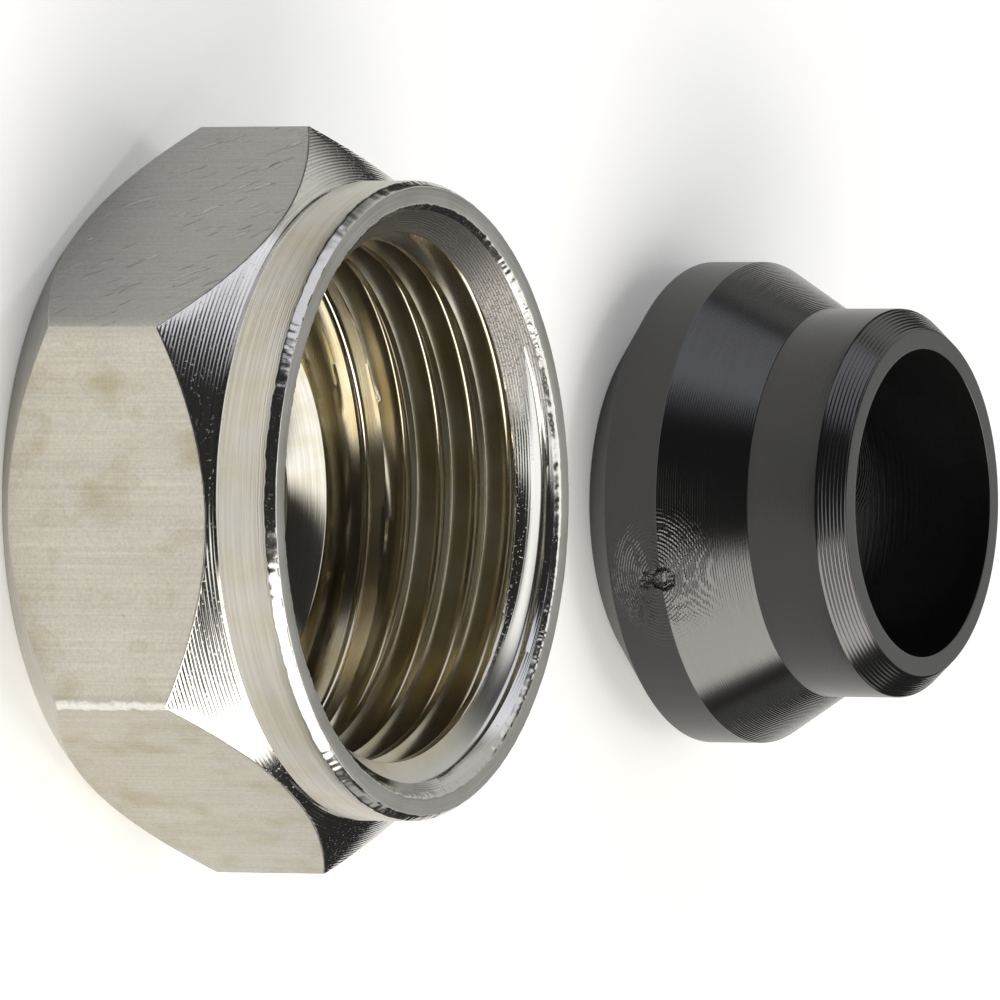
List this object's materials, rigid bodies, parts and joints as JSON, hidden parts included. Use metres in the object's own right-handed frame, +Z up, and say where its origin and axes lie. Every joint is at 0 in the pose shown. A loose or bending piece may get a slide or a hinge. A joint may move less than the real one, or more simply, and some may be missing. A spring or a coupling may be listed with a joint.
{
  "type": "compression union nut and clamping ring",
  "caption": "Hexagon union nut with a round collar, an internally threaded mouth and a pipe hole, beside its double-cone clamping ring with a smooth bore.",
  "frame": {"origin": "centre of the nut's pipe hole in its back face, on the surface that the nut and the ring stand on", "axes": "+Z up along the nut's thread axis and out of its mouth; +Y from the nut towards the ring"},
  "size_m": [0.0346, 0.0808, 0.0143],
  "materials": {
    "nickel_plated_brass": "nickel-plated, satin flats and bright turned faces",
    "black_plastic": "black, matte cylinders and glossy turned cones"
  },
  "bodies": {
    "root": {"union_nut": "nickel_plated_brass", "compression_ring": "black_plastic"}
  },
  "joints": []
}
